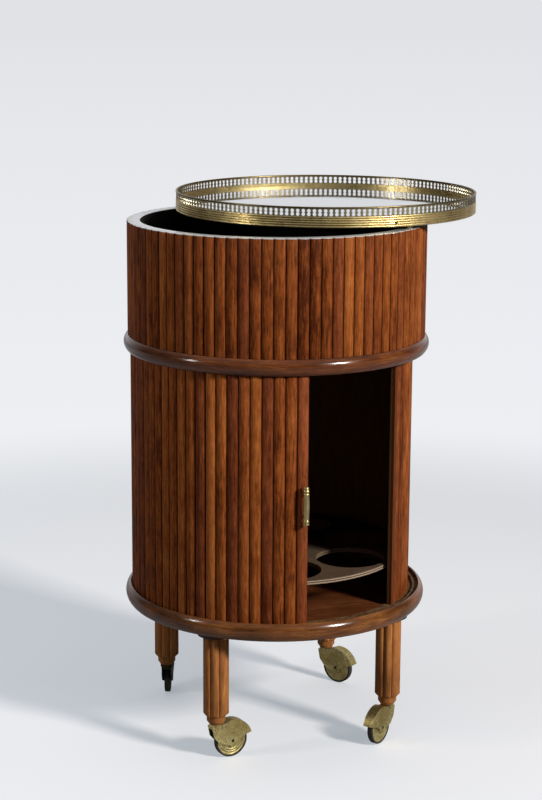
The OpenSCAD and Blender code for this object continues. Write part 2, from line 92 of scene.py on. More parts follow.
# Directions in degrees from +X that the middles of the door and the fixed wall face, roughly
DOOR_FACING = -150
WALL_FACING = 90

# Direction that the photograph looks in, in degrees from the model's +Y
LOOK_TURN = -18.677

# Least share of a face's normal that points up, where the face counts as a top
TOP = 0.3


class BarSizes(bpy.types.PropertyGroup):
    slat_bulge: bpy.props.FloatProperty(
        name="Slat bulge", description="How far a slat's face stands out", default=0.003,
        unit="LENGTH")
    slat_round: bpy.props.FloatProperty(
        name="Slat edge", description="Rounding along a slat's edges", default=0.0006,
        unit="LENGTH")
    lens: bpy.props.FloatProperty(
        name="Lens", description="Focal length of the camera, in millimetres", default=88.67)


def colour(name, description, default):
    """A colour that a user may change."""
    return bpy.props.FloatVectorProperty(name=name, description=description, subtype="COLOR",
                                         size=3, default=default)


class BarColours(bpy.types.PropertyGroup):
    slat_dark: colour("Dark slats", "Darkest wood of the slats", (0.085, 0.018, 0.0055))
    slat_mid: colour("Slats", "Usual wood of the slats", (0.290, 0.072, 0.0148))
    slat_plum: colour("Plum slats", "Usual wood of the redder slats", (0.190, 0.046, 0.017))
    slat_light: colour("Light slats", "Lightest wood of the slats", (0.510, 0.158, 0.036))
    collar: colour("Collar", "Wood of the collar", (0.145, 0.039, 0.0105))
    base: colour("Base", "Wood of the base moulding", (0.190, 0.062, 0.0150))
    leg: colour("Legs", "Wood of the legs", (0.500, 0.190, 0.057))
    brass: colour("Brass", "Aged brass of the tray's band", (0.92, 0.75, 0.37))
    hoop: colour("Gallery", "Paler brass of the pierced gallery", (0.67, 0.61, 0.44))
    bead: colour("Bead", "Dull brass of the gallery's bead", (0.30, 0.235, 0.11))
    pull: colour("Pull", "Brass of the door's pull", (0.66, 0.53, 0.25))
    caster: colour("Casters", "Olive brass of the casters", (0.90, 0.78, 0.36))
    # Near black as painted shade, for the caster that stands in the bar's shadow
    black: colour("Black caster", "Metal of one caster, near black as painted shade", (0.050, 0.040, 0.025))
    paper: colour("Paper", "Colour that the floor's paper throws on the bar", (0.79, 0.80, 0.82))


class Wire:
    """A socket in a shader expression; each operator adds its Math node."""

    def __init__(self, finish, socket):
        self.finish = finish
        self.socket = socket

    def math(self, operation, *values, clamp=False):
        return self.finish.node("ShaderNodeMath", {"operation": operation, "use_clamp": clamp},
                                dict(enumerate((self,) + values)))

    def __add__(self, other):
        return self.math("ADD", other)

    __radd__ = __add__

    def __mul__(self, other):
        return self.math("MULTIPLY", other)

    __rmul__ = __mul__

    def __sub__(self, other):
        return self.math("SUBTRACT", other)

    def __rsub__(self, other):
        return self.finish.node("ShaderNodeMath", {"operation": "SUBTRACT"}, {0: other, 1: self})

    def clamp(self):
        return self.math("ADD", 0.0, clamp=True)

    def either(self, other):
        return self.math("MAXIMUM", other)


class Nodes:
    """A node tree that expressions are built in."""

    def __init__(self, tree):
        self.tree = tree

    def node(self, kind, settings=None, values=None, output=0):
        """Adds one node: its settings first, then the values or links of its sockets."""
        made = self.tree.nodes.new(kind)
        for key, value in (settings or {}).items():
            if key == "stops":
                self.set_stops(made.color_ramp, value)
            else:
                setattr(made, key, value)
        for key, value in (values or {}).items():
            self.feed(made.inputs[key], value)
        return Wire(self, made.outputs[output])

    def set_stops(self, ramp, stops):
        while len(ramp.elements) < len(stops):
            ramp.elements.new(0.5)
        for element, (at, tint) in zip(ramp.elements, stops):
            element.position = at
            element.color = (*tint, 1)

    def feed(self, socket, value):
        """Links a wire to a socket, or sets the socket's own value."""
        if isinstance(value, Wire):
            self.tree.links.new(value.socket, socket)
        elif socket.type == "RGBA" and len(value) == 3:
            socket.default_value = (*value, 1)
        else:
            socket.default_value = value

    def place(self, scale=(1, 1, 1)):
        """Object coordinates, scaled."""
        at = self.node("ShaderNodeTexCoord", output="Object")
        return self.stretch(at, scale)

    def stretch(self, at, scale):
        return self.node("ShaderNodeMapping", {}, {"Vector": at, "Scale": scale})

    def noise(self, at, scale, detail=3.0, rough=0.55, distort=0.0):
        return self.node("ShaderNodeTexNoise", {"noise_dimensions": "3D"},
                         {"Vector": at, "Scale": scale, "Detail": detail, "Roughness": rough,
                          "Distortion": distort})

    def grain(self, at, squeeze, scale, detail, rough):
        """Noise drawn out upward, the more the smaller the squeeze."""
        return self.noise(self.stretch(at, (1, 1, squeeze)), scale, detail, rough)

    def mix(self, factor, first, second):
        return self.node("ShaderNodeMix", {"data_type": "RGBA", "clamp_factor": True},
                         {0: factor, 6: first, 7: second}, output=2)

    def ramp(self, value, *stops):
        return self.node("ShaderNodeValToRGB", {"stops": stops}, {0: value})

    def steps(self, value, low, high, to_low=0.0, to_high=1.0):
        """Value spread from one range to another, and held at its ends."""
        return self.node("ShaderNodeMapRange", {"clamp": True},
                         {"Value": value, "From Min": low, "From Max": high, "To Min": to_low,
                          "To Max": to_high})

    def attribute(self, name):
        return self.node("ShaderNodeAttribute", {"attribute_name": name}, output="Fac")

    def add(self, first, second):
        return self.node("ShaderNodeVectorMath", {"operation": "ADD"}, {0: first, 1: second})

    def split(self, at, axis):
        return self.node("ShaderNodeSeparateXYZ", {}, {0: at}, output=axis)

    def bump(self, height, strength, distance):
        return self.node("ShaderNodeBump", {}, {"Height": height, "Strength": strength,
                                                "Distance": distance})

    def seen_by(self, *kinds):
        """1 for rays of the kinds named."""
        found = [self.node("ShaderNodeLightPath", output=f"Is {kind} Ray") for kind in kinds]
        for other in found[1:]:
            found[0] = found[0].either(other)
        return found[0]


class Finish(Nodes):
    """A node material, built by expressions."""

    def __init__(self, name):
        self.material = bpy.data.materials.new(name)
        self.material.use_nodes = True
        super().__init__(self.material.node_tree)
        self.shader = self.tree.nodes["Principled BSDF"]

    def finish(self, **values):
        """Sets the shader's sockets, spaces in their names written as underscores."""
        for key, value in values.items():
            self.feed(self.shader.inputs[key.replace("_", " ")], value)
        return self.material


FINISHES = {}


def finish_of(name):
    """The material of that name, made when it is first asked for."""
    if name not in FINISHES:
        maker, *values = MAKERS[name]
        FINISHES[name] = maker(name, *values)
    return FINISHES[name]


def own_colour(name):
    """A colour as the user has set it."""
    return Vector(getattr(bpy.context.scene.bar_colours, name))


def slat_wood(name):
    """Varnished slats: each has its own tone, with streaks and open pores up its length."""
    f = Finish(name)
    dark, mid, plum, light = (own_colour("slat_" + kind)
                              for kind in ("dark", "mid", "plum", "light"))
    in_pores, in_specks = (0.040, 0.009, 0.003), (0.50, 0.24, 0.09)
    joint_dirt_and_shade = (0.016, 0.005, 0.002)
    dark_at, mid_at, light_at = 0.08, 0.48, 0.92
    tone = f.attribute("tone")
    side = f.attribute("side")
    # Takes each slat to a place of its own in the patterns
    offset = f.node("ShaderNodeCombineXYZ", {}, {0: tone * 7.0, 1: tone * 3.0, 2: tone * 11.0})
    at = f.add(f.place(), offset)
    streaks = f.grain(at, 0.05, 520, 5, 0.7)
    mottle = f.grain(at, 0.13, 420, 4, 0.7)
    bands = f.grain(at, 0.10, 110, 4, 0.6)
    blotch = f.noise(at, 22, 5, 0.65)
    level = (tone * 0.44 + bands * 0.70 + streaks * 1.10 + mottle * 1.20 + blotch * 0.85
             - 1.70).clamp()
    brown = f.ramp(level, (dark_at, dark), (mid_at, mid), (light_at, light))
    redder = f.ramp(level, (dark_at, dark), (mid_at, plum), (light_at, plum * 1.8))
    wood = f.mix(f.steps(f.noise(offset, 2.6), 0.50, 0.62) * 0.8, brown, redder)
    pore = f.steps(f.grain(at, 0.05, 1500, 2, 0.6), 0.56, 0.72)
    wood = f.mix(pore * 0.6, wood, in_pores)
    speck = f.steps(f.grain(at, 0.35, 700, 2, 0.5), 0.70, 0.78)
    wood = f.mix(speck * 0.5, wood, in_specks)
    # Darker along each slat's sides: partly dirt in the joints, partly painted shade in the gaps
    # between the rounded slats
    joint = f.steps(side + blotch * 0.12, 0.90, 1.02)
    wood = f.mix(joint * 0.70, wood, joint_dirt_and_shade)
    return f.finish(Base_Color=wood, Roughness=f.steps(blotch, 0.3, 0.7, 0.34, 0.52),
                    Specular_IOR_Level=0.04,
                    Normal=f.bump(streaks * 0.6 - pore * 0.5, 0.35, 0.0005))


def fine_wood(f, at, base, rough, gloss, coat, lively=1.0):
    """Polished wood with fine grain, dark pores and a slow change of tone."""
    dark, golden, in_pores = base * 0.28, base * Vector((2.0, 2.4, 2.2)), base * 0.12
    grain = f.noise(at, 300, 5, 0.68, 0.3)
    bands = f.noise(at, 70, 4, 0.6)
    blotch = f.noise(f.place(), 14, 4, 0.6)
    pore = f.steps(f.noise(at, 900, 2, 0.6), 0.58, 0.72)
    level = ((grain * 1.25 + bands * 0.75 + blotch * 0.95 - 1.52) * lively + 0.5).clamp()
    wood = f.ramp(level, (0.12, dark), (0.5, base), (0.9, golden))
    wood = f.mix(pore * 0.55, wood, in_pores)
    return f.finish(Base_Color=wood, Roughness=f.steps(blotch, 0.3, 0.7, rough, rough + 0.12),
                    Specular_IOR_Level=gloss, Coat_Weight=coat, Coat_Roughness=0.16,
                    Normal=f.bump(grain - pore * 0.5, 0.15, 0.0004))


def moulding_wood(name, tint, rough):
    """Polished wood of a moulding, whose grain runs round the bar."""
    f = Finish(name)
    squeeze = 0.018
    at = f.place()
    x, y, z = (f.split(at, axis) for axis in "XYZ")
    x, y = x - AXIS.x, y - AXIS.y
    reach = (x * x + y * y).math("SQRT")
    # The grain's seam lies at the back
    along = (x * -1.0).math("ARCTAN2", y * -1.0) * squeeze
    run = f.node("ShaderNodeCombineXYZ", {}, {0: along, 1: reach, 2: z})
    return fine_wood(f, run, own_colour(tint), rough, gloss=0.05, coat=0.75)


def leg_wood(name):
    """Wood of the reeded legs, whose grain runs up them."""
    f = Finish(name)
    up = f.place((1, 1, 0.07))
    return fine_wood(f, up, own_colour("leg"), rough=0.42, gloss=0.1, coat=0.0, lively=0.6)


def stained_wood(name, dark, light, rough):
    """Plain stained boards that lie in shade."""
    f = Finish(name)
    grain = f.grain(f.place(), 0.2, 120, 4, 0.6)
    return f.finish(Base_Color=f.mix(grain, dark, light), Roughness=rough,
                    Normal=f.bump(grain, 0.2, 0.0003))


def red_wood(name):
    """Reddish boards, worn pale in patches."""
    f = Finish(name)
    dark, mid, pale = (0.045, 0.011, 0.004), (0.155, 0.045, 0.014), (0.38, 0.145, 0.055)
    grain = f.noise(f.place((0.08, 1, 1)), 190, 5, 0.6, 0.3)
    blotch = f.noise(f.place(), 18, 4, 0.6)
    level = (grain * 0.8 + blotch * 0.6 - 0.22).clamp()
    wood = f.ramp(level, (0.15, dark), (0.5, mid), (0.9, pale))
    return f.finish(Base_Color=wood, Roughness=0.42, Specular_IOR_Level=0.2, Coat_Weight=0.06,
                    Normal=f.bump(grain, 0.2, 0.0003))


def jamb_wood(name):
    """Dark red strips at the sides of the doorway."""
    f = Finish(name)
    dark, light = (0.070, 0.019, 0.006), (0.20, 0.058, 0.018)
    grain = f.grain(f.place(), 0.08, 260, 4, 0.6)
    return f.finish(Base_Color=f.mix(grain, dark, light), Roughness=0.5,
                    Specular_IOR_Level=0.06, Normal=f.bump(grain, 0.2, 0.0003))


def worn_track(name):
    """Floor of the door's track, rubbed pale and grey."""
    f = Finish(name)
    dark, rubbed, dirt = (0.080, 0.036, 0.014), (0.24, 0.138, 0.066), (0.04, 0.020, 0.012)
    scuff = f.noise(f.place(), 90, 5, 0.7, 0.5)
    speck = f.noise(f.place(), 520, 3, 0.6)
    wood = f.mix(f.steps(scuff, 0.35, 0.62), dark, rubbed)
    wood = f.mix(f.steps(speck, 0.52, 0.68) * 0.6, wood, dirt)
    return f.finish(Base_Color=wood, Roughness=0.7, Specular_IOR_Level=0.05,
                    Normal=f.bump(scuff, 0.3, 0.0004))


def plywood(name):
    """Grey-brown speckled board, whose outer edge shows two pale layers; toward the back it is
    darkened as painted shade.
    """
    f = Finish(name)
    dark, light, dirt = (0.060, 0.034, 0.019), (0.225, 0.145, 0.092), (0.020, 0.012, 0.008)
    layer_colour, shade = (0.50, 0.38, 0.27), (0.010, 0.006, 0.004)
    low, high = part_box("rack_shelf")
    layer = (high.z - low.z) / 6
    up = f.split(f.place(), "Z")
    grain = f.noise(f.place((0.12, 1, 1)), 240, 4, 0.6)
    speck = f.noise(f.place(), 420, 4, 0.7)
    blotch = f.noise(f.place(), 24, 4, 0.6)
    wood = f.mix(grain * 0.5 + blotch * 0.5, dark, light)
    wood = f.mix(f.steps(speck, 0.54, 0.66) * 0.7, wood, dirt)
    lines = [f.steps((up - (low.z + at * layer)).math("ABSOLUTE"), layer * 0.45, layer * 0.65,
                     1.0, 0.0) for at in (1.3, 4.2)]
    outer = f.node("ShaderNodeVectorMath", {"operation": "LENGTH"},
                   {0: f.stretch(f.add(f.place(), tuple(-AXIS)), (1, 1, 0))}, output="Value")
    edge = radii("rack_shelf")[1]
    pale = lines[0].either(lines[1]) * f.steps(outer, edge - 0.012, edge - 0.002, 0.25, 1.0)
    wood = f.mix(pale, wood, layer_colour)
    # Painted shade: the board goes nearly black toward the back of the bar
    back = f.steps(f.split(f.place(), "Y"), AXIS.y - 0.06, AXIS.y + 0.02)
    wood = f.mix(back * 0.92, wood, shade)
    return f.finish(Base_Color=wood, Roughness=0.62, Specular_IOR_Level=0.2,
                    Normal=f.bump(grain + speck, 0.25, 0.0003))


def rim_lacquer(name):
    """Pale, polished top of the drum's wall and of its slats: partly a pale lacquer,
    partly painted reflection of the bright backdrop.
    """
    f = Finish(name)
    grey, pale, scratched = (0.50, 0.49, 0.48), (0.66, 0.66, 0.66), (0.22, 0.17, 0.13)
    cloud = f.noise(f.place(), 40, 4, 0.6)
    scratch = f.noise(f.place(), 700, 3, 0.6)
    lacquer = f.mix(cloud, grey, pale)
    lacquer = f.mix(f.steps(scratch, 0.62, 0.74) * 0.5, lacquer, scratched)
    return f.finish(Base_Color=lacquer, Roughness=0.28, Coat_Weight=0.6, Coat_Roughness=0.08,
                    Normal=f.bump(scratch, 0.08, 0.0003))


def brass(name, tint, rough, patina, grime):
    """Aged brass: cloudy, dull in patches, brownish in some and speckled with dark spots."""
    f = Finish(name)
    spots = (0.085, 0.060, 0.020)
    base = own_colour(tint)
    at = f.place()
    cloud = f.noise(at, 42, 5, 0.68)
    brown = f.noise(at, 95, 4, 0.7)
    tarnish = f.noise(at, 11, 3, 0.55)
    speck = f.noise(at, 430, 4, 0.72)
    # Where the metal is dull, how strongly, and what is left there of its red, green and blue
    patches = ((f.steps(cloud, 0.40, 0.66), 1.0, (0.42, 0.38, 0.26)),
               (f.steps(brown, 0.50, 0.64), 0.8, (0.62, 0.50, 0.50)),
               (f.steps(tarnish, 0.46, 0.60), 0.7, (0.42, 0.33, 0.22)))
    metal = base
    for where, strength, left in patches:
        metal = f.mix(where * (patina * strength), metal, base * Vector(left))
    metal = f.mix(f.steps(speck, 0.53, 0.66) * grime, metal, spots)
    return f.finish(Base_Color=metal, Metallic=1.0,
                    Roughness=f.steps(cloud, 0.3, 0.7, rough, rough + 0.16),
                    Normal=f.bump(cloud * 0.6 + speck * 0.4, 0.2, 0.0004))


def mirror_glass(name):
    """Silvered glass with a faint haze."""
    f = Finish(name)
    haze = f.noise(f.place(), 30, 4, 0.6)
    return f.finish(Base_Color=(0.80, 0.81, 0.81), Metallic=1.0,
                    Roughness=f.steps(haze, 0.3, 0.7, 0.02, 0.07))


def speckled(name, dark, light, rough, metallic=0.0):
    """Plain dark stuff with a fine speckle."""
    f = Finish(name)
    speck = f.noise(f.place(), 600, 3, 0.6)
    return f.finish(Base_Color=f.mix(speck, dark, light), Metallic=metallic, Roughness=rough,
                    Normal=f.bump(speck, 0.3, 0.0003))


# Each finish's maker, then what that maker asks for after the name: for mouldings and brass the
# colour that a user may change, then roughness, and for brass how dull and how dirty it is; for
# boards and speckled stuff dark, light and roughness
MAKERS = {
    "slat_wood": (slat_wood,),
    "collar_wood": (moulding_wood, "collar", 0.16),
    "base_wood": (moulding_wood, "base", 0.20),
    "leg_wood": (leg_wood,),
    "dark_wood": (stained_wood, (0.010, 0.005, 0.002), (0.050, 0.020, 0.007), 0.65),
    # Near black, as painted shade inside the drum
    "drum_dark": (stained_wood, (0.002, 0.0015, 0.001), (0.006, 0.004, 0.003), 0.8),
    "panel_wood": (stained_wood, (0.070, 0.032, 0.009), (0.20, 0.086, 0.022), 0.6),
    "red_wood": (red_wood,),
    "jamb_wood": (jamb_wood,),
    "worn_track": (worn_track,),
    "plywood": (plywood,),
    "rim_lacquer": (rim_lacquer,),
    "band_brass": (brass, "brass", 0.30, 0.65, 0.55),
    "hoop_brass": (brass, "hoop", 0.26, 0.80, 0.85),
    "bead_brass": (brass, "bead", 0.26, 0.60, 0.80),
    "handle_brass": (brass, "pull", 0.34, 0.45, 0.60),
    "caster_brass": (brass, "caster", 0.42, 0.85, 0.85),
    # Near black as painted shade
    "caster_black": (brass, "black", 0.5, 0.60, 0.60),
    "mirror_glass": (mirror_glass,),
    "dark_metal": (speckled, (0.02, 0.017, 0.013), (0.09, 0.075, 0.055), 0.5, 0.8),
    # Near black inside the hoods, as painted shade
    "hood_inside": (speckled, (0.008, 0.006, 0.004), (0.040, 0.030, 0.016), 0.7),
    "tyre_rubber": (speckled, (0.016, 0.014, 0.011), (0.052, 0.045, 0.036), 0.75),
    "backing_cloth": (speckled, (0.010, 0.007, 0.005), (0.03, 0.022, 0.017), 0.9),
}


def piece(name, bm, body, material, replaces=()):
    """Makes a finished mesh a piece of the bar, riding on its body."""
    mesh = bpy.data.meshes.new(name)
    bm.to_mesh(mesh)
    bm.free()
    made = bpy.data.objects.new(name, mesh)
    bpy.context.scene.collection.objects.link(made)
    mesh.materials.append(finish_of(material))
    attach(made, body)
    if replaces:
        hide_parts(*replaces)
    return made


def smooth(made, angle=35):
    """Shades a piece smooth, with its sharp edges kept."""
    made.data.shade_smooth()
    made.data.set_sharp_from_angle(angle=math.radians(angle))
    return made


def dressed(node, body, material, bevel=0.0, angle=35):
    """A merged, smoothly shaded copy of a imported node, with its corners eased."""
    same_place, flat, corner = 0.00002, math.radians(0.3), math.radians(40)
    bm = bmesh.new()
    bm.from_mesh(NODES[node].data)
    bmesh.ops.remove_doubles(bm, verts=bm.verts, dist=same_place)
    bmesh.ops.dissolve_limit(bm, angle_limit=flat, verts=bm.verts, edges=bm.edges)
    made = piece(node + "_finished", bm, body, material, (node,))
    if bevel:
        ease = made.modifiers.new("Eased corners", "BEVEL")
        ease.width = bevel
        ease.segments = 2
        ease.limit_method = "ANGLE"
        ease.angle_limit = corner
    return smooth(made, angle)


def turned(name, outline, centre, body, material, replaces=(), steps=256, angle=35):
    """A closed section, given as radius and height, spun about an upright axis."""
    same_place = 0.000005
    bm = bmesh.new()
    verts = [bm.verts.new((centre.x + r, centre.y, z)) for r, z in outline]
    edges = [bm.edges.new(pair) for pair in zip(verts, verts[1:] + verts[:1])]
    bmesh.ops.spin(bm, geom=verts + edges, cent=(centre.x, centre.y, 0), axis=(0, 0, 1),
                   angle=math.tau, steps=steps, use_merge=True)
    bmesh.ops.remove_doubles(bm, verts=bm.verts, dist=same_place)
    bmesh.ops.recalc_face_normals(bm, faces=bm.faces)
    return smooth(piece(name, bm, body, material, replaces), angle)


def arc(cx, cz, r, start, stop, count):
    """Points along an arc in a section."""
    turns = [math.radians(start + (stop - start) * i / count) for i in range(count + 1)]
    return [(cx + r * math.cos(a), cz + r * math.sin(a)) for a in turns]


def bulging_edge(outer, bulge, low, high, ease):
    """Arc of a moulding's rounded edge, eased away from its top and bottom faces."""
    steps = 16
    half = (high - low) / 2
    r = (half * half + bulge * bulge) / (2 * bulge)
    lean = math.degrees(math.asin((half - ease) / r))
    return arc(outer - r, (low + high) / 2, r, -lean, lean, steps)


def added(result):
    """Corners that an extrusion added."""
    return [v for v in result["geom"] if isinstance(v, bmesh.types.BMVert)]


def slat_pattern(pitch, back_r, thick, low, high):
    """Mesh of one upright slat on the X axis: a rounded face, and sides that meet the next's."""
    sizes = bpy.context.scene.bar_sizes
    bulge = sizes.slat_bulge
    face_steps = 10
    side_gap = 0.00015
    level = 1e-6

    def half(depth):
        return (back_r + depth) * math.tan(math.radians(pitch / 2)) - side_gap

    w = half(thick - bulge)
    face_r = (w * w + bulge * bulge) / (2 * bulge)
    bm = bmesh.new()
    first = bm.verts.new((back_r + thick - bulge, -w, low))
    bmesh.ops.spin(bm, geom=[first], cent=(back_r + thick - face_r, 0, low), axis=(0, 0, 1),
                   angle=2 * math.asin(w / face_r), steps=face_steps)
    rim = sorted(bm.verts, key=lambda v: v.co.y)
    backs = [bm.verts.new((back_r, side * half(0), low)) for side in (-1, 1)]
    for pair in ((backs[0], rim[0]), (backs[1], rim[-1]), (backs[0], backs[1])):
        bm.edges.new(pair)
    bmesh.ops.contextual_create(bm, geom=bm.edges[:])
    raised = bmesh.ops.extrude_face_region(bm, geom=bm.faces[:])
    bmesh.ops.translate(bm, vec=(0, 0, high - low), verts=added(raised))
    bmesh.ops.recalc_face_normals(bm, faces=bm.faces)

    def upright(edge):
        return abs(edge.verts[0].co.z - edge.verts[1].co.z) > level

    sides = [e for e in bm.edges if upright(e)
             and all(abs(abs(v.co.y) - w) < level for v in e.verts)]
    ends = [e for e in bm.edges if not upright(e)
            and min(v.co.x for v in e.verts) > back_r + (thick - bulge) / 2]
    bmesh.ops.bevel(bm, geom=sides + ends, offset=sizes.slat_round, affect="EDGES", segments=2,
                    profile=0.5, material=-1)
    mesh = bpy.data.meshes.new("slat")
    bm.to_mesh(mesh)
    bm.free()
    return mesh


def slat_ring(node, body, count, start, span, thick, seed, foot=0.0, pale=0.0):
    """Slats side by side round the axis, each a little out of true and of its own tone."""
    low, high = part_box(node)
    back_r = radii(node)[1] - thick
    pitch = span / count
    dice = random.Random(seed)
    # How far a slat may sink into the ring, in metres, and turn out of it, in degrees
    sunk, askew = 0.0004, 0.5
    pattern = slat_pattern(pitch, back_r, thick, low.z + foot, high.z)
    bm = bmesh.new()
    tone = bm.faces.layers.float.new("tone")
    side = bm.verts.layers.float.new("side")
    for i in range(count):
        faces, corners = len(bm.faces), len(bm.verts)
        bm.from_mesh(pattern)
        bm.faces.ensure_lookup_table()
        bm.verts.ensure_lookup_table()
        verts = bm.verts[corners:]
        # pale raises a whole ring's tone: on the fixed wall and the door it is painted light
        shade = dice.betavariate(1.5, 1.6) + pale
        for face in bm.faces[faces:]:
            face[tone] = shade
        half = max(vert.co.y for vert in verts)
        for vert in verts:
            vert[side] = abs(vert.co.y) / half
        bmesh.ops.translate(bm, vec=(-dice.uniform(0.0, sunk), 0, 0), verts=verts)
        bmesh.ops.rotate(bm, cent=(back_r + thick / 2, 0, 0), verts=verts,
                         matrix=Matrix.Rotation(math.radians(dice.uniform(-askew, askew)), 3, "Z"))
        bmesh.ops.rotate(bm, cent=(0, 0, 0), verts=verts,
                         matrix=Matrix.Rotation(math.radians(start + (i + 0.5) * pitch), 3, "Z"))
    bmesh.ops.translate(bm, vec=AXIS, verts=bm.verts)
    bpy.data.meshes.remove(pattern)
    return smooth(piece(node + "_finished", bm, body, "slat_wood", (node,)), 50)


def repaint(made, material, chosen):
    """Gives the faces that the test picks another finish."""
    made.data.materials.append(finish_of(material))
    index = len(made.data.materials) - 1
    for polygon in made.data.polygons:
        if chosen(polygon, math.hypot(polygon.center.x - AXIS.x, polygon.center.y - AXIS.y)):
            polygon.material_index = index


def dress_node(node, material):
    """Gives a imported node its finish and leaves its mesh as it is."""
    mesh = NODES[node].data
    mesh.materials.clear()
    mesh.materials.append(finish_of(material))


class BAR_OT_slats(bpy.types.Operator):
    """Makes the slats of the drum, the fixed wall and the door"""

    bl_idname = "bar.slats"
    bl_label = "Slats"

    def execute(self, context):
        drum = slat_ring("drum_slats", "cabinet", DRUM_SLATS, 0, 360, DRUM_SLAT_T, seed=7)
        # The slats' up-facing faces take the pale top finish, partly a painted highlight along the
        # drum's top edge
        repaint(drum, "rim_lacquer", lambda p, r: p.normal.z > TOP)
        # The fixed wall's slats are set paler as painted light
        start, end = sweep("wall_slats", WALL_FACING)
        slat_ring("wall_slats", "cabinet", WALL_SLATS, start, end - start, WALL_SLAT_T, seed=3,
                  pale=0.13)
        # The door's slats start above the tongue that runs in the track, and are set paler as
        # painted light
        start, end = sweep("door_canvas", DOOR_FACING)
        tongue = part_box("door_canvas")[0].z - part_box("door_slats")[0].z
        slat_ring("door_slats", "door", DOOR_SLATS, start, end - start, DOOR_SLAT_T, seed=12,
                  foot=tongue, pale=0.12)
        return {"FINISHED"}


class BAR_OT_mouldings(bpy.types.Operator):
    """Turns the collar, the base moulding with its track and the drum's shell"""

    bl_idname = "bar.mouldings"
    bl_label = "Mouldings"

    def execute(self, context):
        self.collar()
        self.base()
        self.shell()
        return {"FINISHED"}

    def collar(self):
        """The rounded collar, with the door's groove under it and the divider's rebate inside."""
        bulge, bead, ease = 0.0055, 0.001, 0.001
        canvas_room, slat_room, groove_deep, board_room = 0.0005, 0.0012, 0.006, 0.0001
        low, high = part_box("collar")
        inner, outer = radii("collar")
        edge = outer - bulge
        groove_in = radii("door_canvas")[0] - canvas_room
        groove_out = radii("door_slats")[1] + slat_room
        groove_top = low.z + groove_deep
        board_out = radii("divider")[1] + board_room
        board_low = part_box("divider")[0].z
        groove = [(inner, low.z), (groove_in, low.z), (groove_in, groove_top),
                  (groove_out, groove_top), (groove_out, low.z)]
        rebate = [(edge, high.z), (board_out, high.z), (board_out, board_low), (inner, board_low)]
        turned("collar_finished",
               groove + arc(edge, low.z + bead, bead, -90, -10, 6)
               + bulging_edge(outer, bulge, low.z, high.z, ease) + rebate,
               AXIS, "cabinet", "collar_wood", ("collar",))

    def base(self):
        """The rounded base moulding, with a lip round the worn track."""
        bulge, ease, board_room = 0.0056, 0.0005, 0.0001
        lip_wide, groove_wide, groove_deep = 0.0019, 0.004, 0.0026
        low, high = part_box("base_ring")
        inner, outer = radii("base_ring")
        edge = outer - bulge
        lip = edge - lip_wide
        under = radii("base_board")[1] + board_room
        board_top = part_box("base_board")[1].z
        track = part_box("track_rail")[0].z
        groove_out = radii("track_rail")[0]
        groove_in = groove_out - groove_wide
        groove_low = track - groove_deep
        below = [(inner, board_top), (under, board_top), (under, low.z), (edge - ease, low.z)]
        above = [(edge - ease, high.z), (lip + ease, high.z), (lip, high.z - ease), (lip, track),
                 (groove_out, track), (groove_out, groove_low), (groove_in, groove_low),
                 (groove_in, track), (inner + ease, track), (inner, track - ease)]
        ring = turned("base_ring_finished",
                      below + bulging_edge(outer, bulge, low.z, high.z, ease) + above,
                      AXIS, "cabinet", "base_wood", ("base_ring",))
        repaint(ring, "worn_track",
                lambda p, r: r < lip and p.normal.z > 0.5 and p.center.z < track + ease)

    def shell(self):
        """The drum's wall behind its slats: near black inside as painted shade, and pale on top,
        partly as painted reflection.
        """
        ease = 0.0006
        low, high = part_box("drum_shell")
        inner, outer = radii("drum_shell")
        shell = turned("drum_shell_finished",
                       [(inner, low.z), (outer, low.z), (outer, high.z), (inner + ease, high.z),
                        (inner, high.z - ease)],
                       AXIS, "cabinet", "collar_wood", ("drum_shell",))
        # Up-facing faces take the pale top finish, partly painted reflection
        repaint(shell, "rim_lacquer", lambda p, r: p.normal.z > TOP)
        # Inside faces go near black as painted shade
        repaint(shell, "drum_dark", lambda p, r: r < inner + ease and abs(p.normal.z) < TOP)


